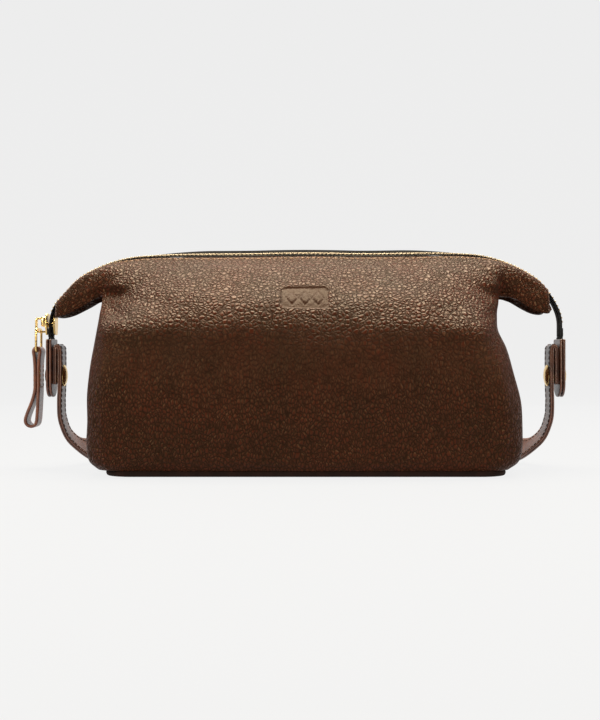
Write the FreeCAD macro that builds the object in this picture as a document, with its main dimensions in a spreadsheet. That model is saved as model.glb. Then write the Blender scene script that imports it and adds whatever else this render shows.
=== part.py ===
"""Hanging toiletry bag: zip-top leather wash bag with side tabs, a snap-on handle strap and a leather pull.

Millimetres. +X along the bag, -Y to its front, +Z up; the origin is the middle of the base, on the floor.
"""
import FreeCAD, Part
import Sketcher
import math
import os

V = FreeCAD.Vector
XY_PLANE, YZ_PLANE = "XY_Plane", "YZ_Plane"
FAR = 400.0                     # reaches well past the bag, for blocks that only trim
SIDES = {"left": -1, "right": 1}

DIMENSIONS = {
    "leather_thick": 2.0, "lining_thick": 0.8, "layer_gap": 0.2, "pocket_thick": 1.0,
    "base_length": 230.0, "base_depth": 108.0, "base_thick": 3.0, "base_corner": 14.0,
    "board_length": 218.0, "board_depth": 98.0, "board_thick": 2.0, "board_corner": 10.0,
    "pocket_length": 170.0, "pocket_low": 14.0, "pocket_top": 78.0,
    "wing_tip": 150.0, "wing_root": 116.0, "wing_depth": 15.0,
    "wing_low_tip": 92.0, "wing_low_root": 103.0,
    "tail_x": 155.5, "tail_bottom": 79.5, "shoulder_height": 86.6, "shoulder_radius": 24.0,
    "shoulder_turn": 49.0, "ramp_radius": 86.0, "ramp_turn": 35.0, "top_turn": 6.0,
    "tape_inner": 1.1, "tape_outer": 7.5, "tape_thick": 0.6, "tooth_pitch": 2.54,
    "tooth_wide": 1.2, "tooth_high": 1.2, "tooth_inner": -0.4, "tooth_outer": 3.2,
    "stop_long": 1.6, "slider_long": 13.0, "slider_wide": 10.0, "slider_plate": 1.2,
    "slider_low": 80.5, "slider_outer_x": 155.8, "slider_inner_x": 151.1, "post_wide": 1.4,
    "post_long": 2.6, "bail_reach": 6.7, "bail_bar": 1.0, "bail_long": 9.0, "bail_low": 82.0,
    "bail_wide": 2.4, "link_x": 161.9, "link_thick": 1.0, "link_wide": 15.4, "link_long": 14.8,
    "link_low": 70.0, "link_slot_wide": 12.8, "link_bar": 1.3,
    "pull_wide": 12.0, "pull_thick": 1.2, "pull_eye": 1.0, "pull_low": 24.5,
    "tab_outer_x": 155.7, "tab_layer": 1.4, "tab_top": 78.0, "tab_low": 43.0, "tab_wide": 18.0,
    "snap_height": 56.0, "snap_hole": 3.6, "cap_wide": 13.0, "cap_high": 2.0, "socket_wide": 8.0,
    "socket_bore": 4.4, "stud_tip_x": 149.9,
    "strap_wide": 15.0, "strap_layer": 1.2, "strap_x": 147.7, "fold_reach": 3.1,
    "fold_top": 72.0, "fold_join": 50.0, "fold_tail": 50.5,
}

doc = FreeCAD.newDocument("hanging_toiletry_bag")
sheet = doc.addObject("Spreadsheet::Sheet", "dimensions")
for row, (alias, value) in enumerate(DIMENSIONS.items(), start=1):
    sheet.set(f"A{row}", alias)
    sheet.set(f"B{row}", str(value))
    sheet.setAlias(f"B{row}", alias)
doc.recompute()
size = {alias: float(sheet.get(alias)) for alias in DIMENSIONS}
nodes = []


def keep(item, label):
    """Name a finished sub-part and list it for export."""
    item.Label = label
    nodes.append(item)
    return item


def bind(item, **cells):
    """Tie an object's properties to expressions over the sheet."""
    for prop, expression in cells.items():
        item.setExpression(prop, expression)
    return item


def shaped(label, shape):
    """A sub-part whose shape is worked out here rather than by a feature."""
    item = doc.addObject("Part::Feature", label)
    item.Shape = shape
    item.Placement = FreeCAD.Placement()
    return keep(item, label)


def cell(expression):
    """Turn 'base_length / 2' into an expression that names the sheet's cells."""
    words = expression.replace("(", "( ").replace(")", " )").split()
    return " ".join(f"dimensions.{word}" if word in DIMENSIONS else word for word in words)


# ---------------------------------------------------------------- sketched pieces

def origin_plane(body, role):
    return next(item for item in body.Origin.OriginFeatures if item.Role == role)


def centred_rectangle(sketch, wide, tall, low=None):
    """A rectangle centred across the sketch. Its sizes follow the sheet; low is its lower edge."""
    start = len(sketch.Geometry)
    corners = [V(-9, -9, 0), V(9, -9, 0), V(9, 9, 0), V(-9, 9, 0)]
    for index in range(4):
        sketch.addGeometry(Part.LineSegment(corners[index], corners[(index + 1) % 4]), False)
    for index in range(4):
        following = start + (index + 1) % 4
        sketch.addConstraint(Sketcher.Constraint("Coincident", start + index, 2, following, 1))
    sketch.addConstraint(Sketcher.Constraint("Horizontal", start + 2))
    sketch.addConstraint(Sketcher.Constraint("Vertical", start + 3))
    across = sketch.addConstraint(Sketcher.Constraint("Distance", start, 18))
    up = sketch.addConstraint(Sketcher.Constraint("Distance", start + 1, 18))
    sketch.addConstraint(Sketcher.Constraint("Symmetric", start, 1, start, 2, -2))
    sketch.setExpression(f"Constraints[{across}]", cell(wide))
    sketch.setExpression(f"Constraints[{up}]", cell(tall))
    if low is None:
        sketch.addConstraint(Sketcher.Constraint("Symmetric", start + 1, 1, start + 1, 2, -1))
    else:
        sketch.addConstraint(Sketcher.Constraint("Vertical", start + 1))
        base = sketch.addConstraint(Sketcher.Constraint("DistanceY", -1, 1, start, 1, 1))
        sketch.setExpression(f"Constraints[{base}]", cell(low))


def circle_at(sketch, height, wide):
    """A round hole on the sketch's centre line."""
    index = sketch.addGeometry(Part.Circle(V(0, 5, 0), V(0, 0, 1), 2), False)
    sketch.addConstraint(Sketcher.Constraint("PointOnObject", index, 3, -2))
    up = sketch.addConstraint(Sketcher.Constraint("DistanceY", -1, 1, index, 3, 5))
    across = sketch.addConstraint(Sketcher.Constraint("Diameter", index, 4))
    sketch.setExpression(f"Constraints[{up}]", cell(height))
    sketch.setExpression(f"Constraints[{across}]", cell(wide))


def padded(label, plane, outline, thick, move=None, round_edges=None, radius=None, hole=None):
    """A plate: one sketch, padded, with chosen edges rounded and perhaps a round hole."""
    body = doc.addObject("PartDesign::Body", label)
    sketch = body.newObject("Sketcher::SketchObject", f"{label}_outline")
    sketch.AttachmentSupport = [(origin_plane(body, plane), "")]
    sketch.MapMode = "FlatFace"
    for rectangle in outline:
        centred_rectangle(sketch, *rectangle)
    if hole:
        circle_at(sketch, *hole)
    pad = body.newObject("PartDesign::Pad", f"{label}_pad")
    pad.Profile = sketch
    pad.setExpression("Length", cell(thick))
    doc.recompute()
    if round_edges:
        names = [f"Edge{i}" for i, edge in enumerate(pad.Shape.Edges, 1) if round_edges(edge)]
        fillet = body.newObject("PartDesign::Fillet", f"{label}_rounds")
        fillet.Base = (pad, names)
        fillet.setExpression("Radius", cell(radius))
        body.Tip = fillet
    for prop, expression in (move or {}).items():
        body.setExpression(f"Placement.Base.{prop}", cell(expression))
    return keep(body, label)


def stands_upright(edge):
    return len(edge.Vertexes) == 2 and abs(edge.tangentAt(edge.FirstParameter).z) > 0.99


def is_lower_side(edge):
    """An edge through a plate in the YZ plane, at its lower end."""
    runs_across = len(edge.Vertexes) == 2 and abs(edge.tangentAt(edge.FirstParameter).x) > 0.99
    return runs_across and edge.CenterOfMass.z < size["snap_height"]


padded("base_panel", XY_PLANE, [("base_length", "base_depth")], "base_thick",
       round_edges=stands_upright, radius="base_corner")
padded("base_board", XY_PLANE, [("board_length", "board_depth")], "board_thick",
       move={"z": "base_thick"}, round_edges=stands_upright, radius="board_corner")
padded("lining_base", XY_PLANE, [("board_length", "board_depth")], "lining_thick",
       move={"z": "base_thick + board_thick"}, round_edges=stands_upright, radius="board_corner")

tab_outline = [("tab_wide", "tab_top - tab_low", "tab_low")]
for side, sign in SIDES.items():
    layers = {"outer": "tab_outer_x - tab_layer", "inner": "tab_outer_x - 2 * tab_layer - tape_thick"}
    for layer, near_x in layers.items():
        place = near_x if sign > 0 else f"0 - ( {near_x} ) - tab_layer"
        padded(f"tab_{side}_{layer}", YZ_PLANE, tab_outline, "tab_layer", move={"x": place},
               round_edges=is_lower_side, radius="tab_wide / 2.2", hole=("snap_height", "snap_hole"))

link_ring = [("link_wide", "link_long", "link_low"),
             ("link_slot_wide", "link_long - 2 * link_bar", "link_low + link_bar")]
padded("pull_link", YZ_PLANE, link_ring, "link_thick", move={"x": "0 - link_x - link_thick / 2"})


# ---------------------------------------------------------------- snap fasteners, from primitives

TURN_TO_X = FreeCAD.Rotation(V(0, 1, 0), 90)


def cylinder_along_x(name, radius, length, start_x):
    item = doc.addObject("Part::Cylinder", name)
    bind(item, Radius=cell(radius), Height=cell(length))
    item.Placement = FreeCAD.Placement(V(0, 0, 0), TURN_TO_X)
    item.setExpression("Placement.Base.x", cell(start_x))
    item.setExpression("Placement.Base.z", cell("snap_height"))
    return item


def domed_cap(label, face_x, outward):
    """A shallow dome: a ball cut by a disc. face_x is the leather's face, outward is +1 or -1 along X."""
    ball_radius = "( cap_wide * cap_wide / 4 + cap_high * cap_high ) / ( 2 * cap_high )"
    ball = doc.addObject("Part::Sphere", f"{label}_ball")
    ball.setExpression("Radius", cell(ball_radius))
    middle = f"{face_x} + {outward} * ( cap_high - {ball_radius} )"
    ball.setExpression("Placement.Base.x", cell(middle))
    ball.setExpression("Placement.Base.z", cell("snap_height"))
    start = face_x if outward > 0 else f"{face_x} - cap_high"
    disc = cylinder_along_x(f"{label}_disc", "cap_wide / 2", "cap_high", start)
    cap = doc.addObject("Part::Common", label)
    cap.Base = ball
    cap.Tool = disc
    return keep(cap, label)


for side, sign in SIDES.items():
    outer_face = f"{sign} * tab_outer_x"
    inner_face = f"{sign} * ( strap_x - strap_layer )"
    domed_cap(f"tab_cap_{side}", outer_face, sign)
    domed_cap(f"strap_cap_{side}", inner_face, -sign)
    stud_start = "stud_tip_x" if sign > 0 else "0 - tab_outer_x"
    keep(cylinder_along_x(f"snap_stud_{side}", "snap_hole / 2", "tab_outer_x - stud_tip_x", stud_start),
         f"snap_stud_{side}")
    socket_long = "fold_reach + 2 * strap_layer"
    socket_start = "strap_x - strap_layer" if sign > 0 else f"0 - strap_x + strap_layer - ( {socket_long} )"
    barrel = cylinder_along_x(f"socket_barrel_{side}", "socket_wide / 2", socket_long, socket_start)
    bore_long = "strap_layer * 2"
    bore_start = "strap_x - strap_layer + fold_reach" if sign > 0 \
        else f"0 - strap_x - strap_layer - fold_reach"
    bore = cylinder_along_x(f"socket_bore_{side}", "socket_bore / 2", bore_long, bore_start)
    socket = doc.addObject("Part::Cut", f"snap_socket_{side}")
    socket.Base = barrel
    socket.Tool = bore
    keep(socket, f"snap_socket_{side}")


# ---------------------------------------------------------------- bag panels

def block(face, direction):
    """Extrude a face both ways, far past the bag."""
    return face.translated(direction * -FAR).extrude(direction * 2 * FAR)


def zip_arcs(inset):
    """(centre, radius, start angle, end angle) of the zip line's left half, set in by inset."""
    s = size
    centre = V(-(s["tail_x"] - s["shoulder_radius"]), 0, s["shoulder_height"])
    arcs = []
    angle = 180.0
    radii = [s["shoulder_radius"], s["ramp_radius"]]
    for radius, turn in zip(radii, (s["shoulder_turn"], s["ramp_turn"])):
        if arcs:
            out = V(math.cos(math.radians(angle)), 0, math.sin(math.radians(angle)))
            centre = centre + out * (radii[0] - radius)
        arcs.append((centre, radius - inset, angle, angle - turn))
        angle -= turn
    out = V(math.cos(math.radians(angle)), 0, math.sin(math.radians(angle)))
    end = centre + out * s["ramp_radius"]
    top_radius = abs(end.x) / math.sin(math.radians(s["top_turn"]))
    arcs.append((end - out * top_radius, top_radius - inset, angle, 90.0))
    return arcs


def on_arc(arc, angle):
    centre, radius = arc[0], arc[1]
    return centre + V(math.cos(math.radians(angle)), 0, math.sin(math.radians(angle))) * radius


def flipped(point):
    return V(-point.x, point.y, point.z)


def under_zip(inset, bottom=0.0):
    """Everything under the zip line set in by inset, as a block along Y."""
    arcs = zip_arcs(inset)
    left = []
    for arc in arcs:
        left.append(Part.Arc(on_arc(arc, arc[2]), on_arc(arc, (arc[2] + arc[3]) / 2), on_arc(arc, arc[3])))
    right = []
    for arc in reversed(arcs):
        right.append(Part.Arc(flipped(on_arc(arc, arc[3])), flipped(on_arc(arc, (arc[2] + arc[3]) / 2)),
                              flipped(on_arc(arc, arc[2]))))
    start = on_arc(arcs[0], 180.0)
    low_left, low_right = V(start.x, 0, bottom), V(-start.x, 0, bottom)
    edges = [Part.LineSegment(low_left, start).toShape()]
    edges += [curve.toShape() for curve in left + right]
    edges.append(Part.LineSegment(flipped(start), low_right).toShape())
    edges.append(Part.LineSegment(low_right, low_left).toShape())
    return block(Part.Face(Part.Wire(edges)), V(0, 1, 0))


def mirrored_outline(points):
    """A face from one side's points and arcs, closed across the middle. Three points make an arc."""
    edges = []
    for piece in points:
        if len(piece) == 3:
            edges.append(Part.Arc(*piece).toShape())
        else:
            edges.append(Part.LineSegment(*piece).toShape())
    flip = V(1, 0, 0) if abs(points[0][0].x) > 0 else V(0, 1, 0)
    other = [edge.mirror(V(0, 0, 0), flip) for edge in edges]
    first, last = points[0][0], points[-1][-1]
    far_first = V(-first.x, -first.y, first.z)
    far_last = V(-last.x, -last.y, last.z)
    edges.append(Part.LineSegment(first, far_first).toShape())
    edges.append(Part.LineSegment(last, far_last).toShape())
    return Part.Face(Part.Wire(Part.__sortEdges__(edges + other)))


SEAM_Z = size["base_thick"]
CROSS_SECTION = mirrored_outline([
    (V(0, -55, -20), V(0, -55, SEAM_Z)),
    (V(0, -55, SEAM_Z), V(0, -61.5, 40), V(0, -58, 78)),
    (V(0, -58, 78), V(0, -38, 107), V(0, -7.6, 127.4)),
    (V(0, -7.6, 127.4), V(0, -7.6, 150)),
])
LENGTH_OUTLINE = mirrored_outline([
    (V(115, 0, SEAM_Z), V(120.6, 0, 7.5), V(123, 0, 18)),
    (V(123, 0, 18), V(121.5, 0, 55), V(114.5, 0, 95)),
    (V(114.5, 0, 95), V(117, 0, 103)),
    (V(117, 0, 103), V(117, 0, 150)),
])


def section_block(inset):
    face = CROSS_SECTION.makeOffset2D(-inset) if inset else CROSS_SECTION
    return block(face, V(1, 0, 0))


def length_block(inset):
    face = LENGTH_OUTLINE.makeOffset2D(-inset) if inset else LENGTH_OUTLINE
    return block(face, V(0, 1, 0))


def box(low, high):
    return Part.makeBox(high[0] - low[0], high[1] - low[1], high[2] - low[2], V(*low))


def wing_block(sign):
    """The end of the zip top that stands out past the body, seen from the front."""
    s = size
    corners = [V(sign * s["wing_root"], 0, s["wing_low_root"]), V(sign * s["wing_tip"], 0, s["wing_low_tip"]),
               V(sign * s["wing_tip"], 0, FAR), V(sign * s["wing_root"], 0, FAR)]
    return block(Part.Face(Part.makePolygon(corners + corners[:1])), V(0, 1, 0))


def wing_plate_block(sign):
    """As wing_block, but carried inboard to the roof, where the panel turns out into the wing."""
    s = size
    inboard, inboard_low = 98.0, 116.0
    corners = [V(sign * inboard, 0, inboard_low), V(sign * s["wing_root"], 0, s["wing_low_root"]),
               V(sign * s["wing_tip"], 0, s["wing_low_tip"]), V(sign * s["wing_tip"], 0, FAR),
               V(sign * inboard, 0, FAR)]
    return block(Part.Face(Part.makePolygon(corners + corners[:1])), V(0, 1, 0))


leather = size["leather_thick"]
tape_top = size["tooth_high"]
edge_y = size["tape_outer"] + 0.1
top_skin = under_zip(tape_top).cut(under_zip(tape_top + leather))


def front_panel_shape():
    """Wall, roof and both wings of the front leather, down to the base seam."""
    in_front = box((-FAR, -FAR, SEAM_Z), (FAR, -edge_y, FAR))
    wall = section_block(0).cut(section_block(leather)).common(length_block(0)).common(under_zip(tape_top))
    lip = top_skin.common(section_block(0)).common(length_block(0))
    shape = wall.fuse(lip)
    for sign in SIDES.values():
        depth = size["wing_depth"]
        side = box((-FAR, -depth, 0), (FAR, -depth + leather, FAR)).common(wing_plate_block(sign))
        side = side.common(under_zip(tape_top))
        top = top_skin.common(wing_block(sign)).common(box((-FAR, -depth, 0), (FAR, 0, FAR)))
        shape = shape.fuse(side).fuse(top)
    return shape.common(in_front).removeSplitter()


front_panel = front_panel_shape()
back_panel = front_panel.mirror(V(0, 0, 0), V(0, 1, 0))
shaped("front_panel", front_panel)
shaped("back_panel", back_panel)


def gusset_shape(sign):
    """End wall, with the pleat that folds up between the two sides of the wing."""
    wall = length_block(0).cut(length_block(leather)).common(section_block(leather))
    wall = wall.common(under_zip(tape_top + leather + 0.1))
    wall = wall.common(box((113, -FAR, SEAM_Z), (FAR, FAR, FAR)))
    if sign < 0:
        wall = wall.mirror(V(0, 0, 0), V(1, 0, 0))
    pleat_half = size["wing_depth"] - leather - 0.2
    pleat = wing_block(sign).common(under_zip(5.2)).common(box((-FAR, -pleat_half, 0), (FAR, pleat_half, FAR)))
    return wall.fuse(pleat).cut(front_panel).cut(back_panel).removeSplitter()


gussets = {}
for side, sign in SIDES.items():
    gussets[side] = gusset_shape(sign)
    shaped(f"gusset_{side}", gussets[side])


def lining_sheet(outer, inner):
    """A sheet inside the front wall and roof, between two insets from the leather's outside."""
    floor = SEAM_Z + size["board_thick"] + size["lining_thick"] + 0.2
    end_gap = leather + 2 * size["layer_gap"] + size["lining_thick"]
    wall = section_block(outer).cut(section_block(inner)).common(length_block(end_gap))
    wall = wall.common(under_zip(tape_top + leather + 1.0))
    return wall.common(box((-113, -FAR, floor), (113, -10.5, FAR)))


lining_out = leather + size["layer_gap"]
lining_in = lining_out + size["lining_thick"]
lining_front = lining_sheet(lining_out, lining_in).cut(front_panel)
lining_back = lining_front.mirror(V(0, 0, 0), V(0, 1, 0))
shaped("lining_front", lining_front)
shaped("lining_back", lining_back)


def end_lining(sign):
    """The lining of one end wall."""
    wall = length_block(lining_out).cut(length_block(lining_in)).common(section_block(lining_in + 0.2))
    wall = wall.common(box((112, -FAR, 8), (FAR, FAR, 100)))
    if sign < 0:
        wall = wall.mirror(V(0, 0, 0), V(1, 0, 0))
    return wall


for side, sign in SIDES.items():
    shaped(f"lining_{side}", end_lining(sign))

pocket_out = lining_in + size["layer_gap"]
half_pocket = size["pocket_length"] / 2
pocket = section_block(pocket_out).cut(section_block(pocket_out + size["pocket_thick"]))
pocket = pocket.common(box((-half_pocket, 10, size["pocket_low"]), (half_pocket, FAR, size["pocket_top"])))
shaped("slip_pocket", pocket)


# ---------------------------------------------------------------- zip

def along_zip(distance, inset=0.0):
    """Point, and outward angle, at a distance from the left tail's end along the outer zip line."""
    s = size
    half = s["shoulder_height"] - s["tail_bottom"]
    arcs = zip_arcs(0.0)
    half += sum(arc[1] * math.radians(arc[2] - arc[3]) for arc in arcs)
    mirrored = distance > half
    run = 2 * half - distance if mirrored else distance
    straight = s["shoulder_height"] - s["tail_bottom"]
    if run <= straight:
        point, angle = V(-s["tail_x"] + inset, 0, s["tail_bottom"] + run), 180.0
    else:
        run -= straight
        for arc in arcs:
            length = arc[1] * math.radians(arc[2] - arc[3])
            if run <= length + 1e-9:
                break
            run -= length
        angle = arc[2] - math.degrees(run / arc[1])
        point = on_arc((arc[0], arc[1] - inset), angle)
    if mirrored:
        point, angle = flipped(point), 180.0 - angle
    return point, angle, 2 * half


def zip_block(distance, wide, high, low_y, high_y):
    """A small block that stands on the tape, square to the zip line."""
    point, angle, _ = along_zip(distance, inset=size["tooth_high"])
    piece = Part.makeBox(high, high_y - low_y, wide, V(0, low_y, -wide / 2))
    piece.rotate(V(0, 0, 0), V(0, 1, 0), -angle)
    return piece.translated(point)


total = along_zip(0.0)[2]
slider_clear = size["slider_low"] + size["slider_long"] - size["tail_bottom"] + 2.0
last_tooth = total - 3 * size["stop_long"]
teeth_per_side = int((last_tooth - slider_clear) / size["tooth_pitch"])
for name, flip, shift in (("front", -1, 0.0), ("back", 1, 0.5)):
    low_y, high_y = sorted((flip * size["tooth_inner"], flip * size["tooth_outer"]))
    teeth = [zip_block(slider_clear + (number + shift) * size["tooth_pitch"], size["tooth_wide"],
                       size["tooth_high"], low_y, high_y) for number in range(teeth_per_side)]
    shaped(f"zip_teeth_{name}", Part.makeCompound(teeth))
    tape = under_zip(tape_top).cut(under_zip(tape_top + size["tape_thick"]))
    low_y, high_y = sorted((flip * size["tape_inner"], flip * size["tape_outer"]))
    shaped(f"zip_tape_{name}", tape.common(box((-FAR, low_y, size["tail_bottom"]), (FAR, high_y, FAR))))

stop_pair = [zip_block(total - size["stop_long"] * 0.9, size["stop_long"], size["tooth_high"], low, high)
             for low, high in ((-3.4, -0.2), (0.2, 3.4))]
shaped("zip_stops_right", Part.makeCompound(stop_pair))

tail_x = size["tail_x"] - tape_top
for side, sign in SIDES.items():
    inner, outer = sorted((sign * tail_x, sign * (tail_x - size["tape_thick"])))
    strips = []
    for flip in (-1, 1):
        low_y, high_y = sorted((flip * size["tape_inner"], flip * size["tape_outer"]))
        strips.append(box((inner, low_y, size["tab_low"] + 6), (outer, high_y, size["tail_bottom"] - 0.4)))
    snap_bore = Part.makeCylinder(size["snap_hole"] / 2, FAR, V(-FAR / 2, 0, size["snap_height"]), V(1, 0, 0))
    if sign > 0:
        snap_bore = snap_bore.translated(V(100, 0, 0))
    shaped(f"tape_tail_{side}", Part.makeCompound([strip.cut(snap_bore) for strip in strips]))


# ---------------------------------------------------------------- slider, link and leather pull

def slider_shape():
    """Two plates joined by a post between the tapes, hanging at the left end."""
    s = size
    half = s["slider_wide"] / 2
    low, high = s["slider_low"], s["slider_low"] + s["slider_long"]
    outer = box((-s["slider_outer_x"] - s["slider_plate"], -half, low), (-s["slider_outer_x"], half, high))
    inner = box((-s["slider_inner_x"] - s["slider_plate"], -half, low), (-s["slider_inner_x"], half, high))
    plates = []
    for plate in (outer, inner):
        corners = [edge for edge in plate.Edges if abs(edge.tangentAt(edge.FirstParameter).x) > 0.99]
        plates.append(plate.makeFillet(2.5, corners))
    post_half = s["post_wide"] / 2
    post_low = s["shoulder_height"] - s["post_long"] / 2
    post = box((-s["slider_outer_x"] - 0.2, -post_half, post_low),
               (-s["slider_inner_x"] - s["slider_plate"] + 0.2, post_half, post_low + s["post_long"]))
    return plates[0].fuse(plates[1]).fuse(post).removeSplitter()


def bail_shape():
    """The arch on the slider's outer plate that the link hangs in."""
    s = size
    near = -s["slider_outer_x"] - s["slider_plate"]
    half = s["bail_wide"] / 2
    low, high = s["bail_low"], s["bail_low"] + s["bail_long"]
    solid = box((near - s["bail_reach"], -half, low), (near, half, high))
    rounds = [edge for edge in solid.Edges
              if abs(edge.tangentAt(edge.FirstParameter).y) > 0.99 and edge.CenterOfMass.x < near - 1]
    solid = solid.makeFillet(1.6, rounds)
    bar = s["bail_bar"]
    window = box((near - s["bail_reach"] + bar, -half - 1, low + bar), (near, half + 1, high - bar))
    return solid.cut(window)


def pull_shape():
    """A strip doubled over the link: two layers down to a teardrop loop."""
    s = size
    x, eye, thick = -s["link_x"], s["pull_eye"], s["pull_thick"]
    bar_z = s["link_low"] + s["link_bar"] / 2
    outer = [V(x - eye - thick, 0, bar_z), V(x, 0, bar_z + eye + thick), V(x + eye + thick, 0, bar_z)]
    mid, low = V(x, 0, 47), s["pull_low"]
    centre_x = x - 3.2

    def drop(grow):
        right_mid = V(mid.x + grow, 0, mid.z)
        left_mid = V(mid.x - grow, 0, mid.z)
        belly = 3.0 + grow
        bottom = V(centre_x, 0, low + 1.2 - grow + thick / 2)
        right = Part.BSplineCurve()
        right.interpolate([right_mid, V(centre_x + belly, 0, low + 9), bottom, V(centre_x - belly, 0, low + 9),
                           left_mid])
        return right.toShape(), left_mid, right_mid

    edge, left_mid, right_mid = drop(thick)
    sides = [Part.LineSegment(left_mid, outer[0]).toShape(), Part.Arc(*outer).toShape(),
             Part.LineSegment(outer[2], right_mid).toShape(), edge]
    body = Part.Face(Part.Wire(Part.__sortEdges__(sides)))
    inner_edge, inner_left, inner_right = drop(0.05)
    hole = Part.Face(Part.Wire([inner_edge, Part.LineSegment(inner_left, inner_right).toShape()]))
    eye_hole = Part.Face(Part.Wire(Part.makeCircle(eye, V(x, 0, bar_z), V(0, 1, 0))))
    half = s["pull_wide"] / 2
    loop = body.cut(hole).cut(eye_hole).translated(V(0, -half, 0)).extrude(V(0, 2 * half, 0))
    return loop


shaped("slider_body", slider_shape())
shaped("slider_bail", bail_shape())
shaped("pull_loop", pull_shape())


# ---------------------------------------------------------------- handle strap

# The right half's middle line, from the fold to the middle behind the bag, with the way its face looks.
STRAP_ROUTE = [
    (V(147.7, 0, 50), 0.0), (V(148.0, 1.5, 41), 0.0), (V(149.0, 6, 31), 0.0), (V(148.4, 14, 21), 5.0),
    (V(146.0, 27, 11.5), 14.0), (V(141.0, 45, 8.0), 30.0), (V(128.5, 62, 7.5), 55.0),
    (V(104.0, 74.5, 7.5), 75.0), (V(54.0, 80, 7.5), 87.0), (V(0.0, 81, 7.5), 90.0),
]


STRAP_SECTIONS = 26


def strap_sections(near, far):
    """Rectangles across one layer of the strap, between two distances along its face's direction."""
    half = size["strap_wide"] / 2
    curve = Part.BSplineCurve()
    curve.interpolate([point for point, _ in STRAP_ROUTE], InitialTangent=V(0, 0, -1),
                      FinalTangent=V(-1, 0, 0))
    knots = [(curve.parameter(point), turn) for point, turn in STRAP_ROUTE]
    wires = []
    for number in range(STRAP_SECTIONS + 1):
        along = knots[0][0] + (knots[-1][0] - knots[0][0]) * number / STRAP_SECTIONS
        span = max(index for index in range(len(knots) - 1) if knots[index][0] <= along + 1e-9)
        part = (along - knots[span][0]) / (knots[span + 1][0] - knots[span][0])
        turn = knots[span][1] + (knots[span + 1][1] - knots[span][1]) * part
        point = curve.value(along)
        tangent = curve.tangent(along)[0]
        hint = V(math.cos(math.radians(turn)), math.sin(math.radians(turn)), 0)
        face_way = (hint - tangent * hint.dot(tangent)).normalize()
        across = tangent.cross(face_way).normalize() * half
        corners = [point + across + face_way * near, point - across + face_way * near,
                   point - across + face_way * far, point + across + face_way * far]
        wires.append(Part.makePolygon(corners + corners[:1]))
    return wires


def strap_fold(near, far):
    """The end of one layer: up, over the top towards the tab, and down to the tail."""
    s = size
    half = s["strap_wide"] / 2
    centre = V(s["strap_x"] + s["fold_reach"] / 2, 0, s["fold_top"])
    radius_out, radius_in = s["fold_reach"] / 2 - near, s["fold_reach"] / 2 - far
    outer = Part.makeCylinder(radius_out, 2 * half, centre + V(0, -half, 0), V(0, 1, 0))
    inner = Part.makeCylinder(radius_in, 2 * half, centre + V(0, -half, 0), V(0, 1, 0))
    above = box((centre.x - 10, -half, s["fold_top"]), (centre.x + 10, half, s["fold_top"] + 10))
    turn = outer.cut(inner).common(above)
    up = box((centre.x - radius_out, -half, s["fold_join"]), (centre.x - radius_in, half, s["fold_top"]))
    down = box((centre.x + radius_in, -half, s["fold_tail"]), (centre.x + radius_out, half, s["fold_top"]))
    return turn.fuse(up).fuse(down)


def strap_layer(near, far):
    """One whole layer, left tail to right tail, with room for the two sockets."""
    run = Part.makeLoft(strap_sections(near, far), True, True)
    half = run.fuse(strap_fold(near, far))
    layer = half.fuse(half.mirror(V(0, 0, 0), V(1, 0, 0)))
    bore = Part.makeCylinder(size["socket_wide"] / 2, FAR, V(-FAR / 2, 0, size["snap_height"]), V(1, 0, 0))
    return layer.cut(bore).removeSplitter()


strap_half = size["strap_layer"]
shaped("strap_lining", strap_layer(-strap_half, -0.05))
shaped("strap_outer", strap_layer(0.05, strap_half))


# ---------------------------------------------------------------- check and write

doc.recompute()
for item in doc.Objects:
    if "Invalid" in item.State or "Error" in item.State:
        raise RuntimeError(f"{item.Label}: {item.State}")
os.makedirs("parts", exist_ok=True)
for item in nodes:
    if item.Shape.isNull() or not item.Shape.isValid():
        raise RuntimeError(f"{item.Label} has no valid shape")
    extent = item.Shape.BoundBox
    print(f"{item.Label:20s} solids {len(item.Shape.Solids):4d} volume {item.Shape.Volume:10.1f}"
          f"  x {extent.XMin:7.1f} {extent.XMax:7.1f}  y {extent.YMin:6.1f} {extent.YMax:6.1f}"
          f"  z {extent.ZMin:6.1f} {extent.ZMax:6.1f}")
    item.Shape.exportStep(f"parts/{item.Label}.step")
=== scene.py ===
"""The look of the hanging toiletry bag, built round the CAD frame. Lengths are in millimetres until MM."""
import bmesh
import bpy
import math
import numpy as np
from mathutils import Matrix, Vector, noise


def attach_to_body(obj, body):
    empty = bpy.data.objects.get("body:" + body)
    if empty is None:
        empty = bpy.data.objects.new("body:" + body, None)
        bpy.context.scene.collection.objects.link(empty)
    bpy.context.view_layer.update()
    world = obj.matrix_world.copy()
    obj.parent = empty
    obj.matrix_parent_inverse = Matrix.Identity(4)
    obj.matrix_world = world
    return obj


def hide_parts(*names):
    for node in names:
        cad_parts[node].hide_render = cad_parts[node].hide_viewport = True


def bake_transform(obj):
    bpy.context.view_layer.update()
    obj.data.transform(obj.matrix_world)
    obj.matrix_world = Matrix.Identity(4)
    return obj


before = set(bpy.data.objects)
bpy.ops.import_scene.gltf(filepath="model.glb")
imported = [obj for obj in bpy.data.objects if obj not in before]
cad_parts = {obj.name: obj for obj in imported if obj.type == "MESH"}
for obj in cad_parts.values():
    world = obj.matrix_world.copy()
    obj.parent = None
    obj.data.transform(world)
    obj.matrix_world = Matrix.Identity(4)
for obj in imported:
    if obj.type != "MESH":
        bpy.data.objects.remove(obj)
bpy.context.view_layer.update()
MM = 0.001

# ---- driving sizes

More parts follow.
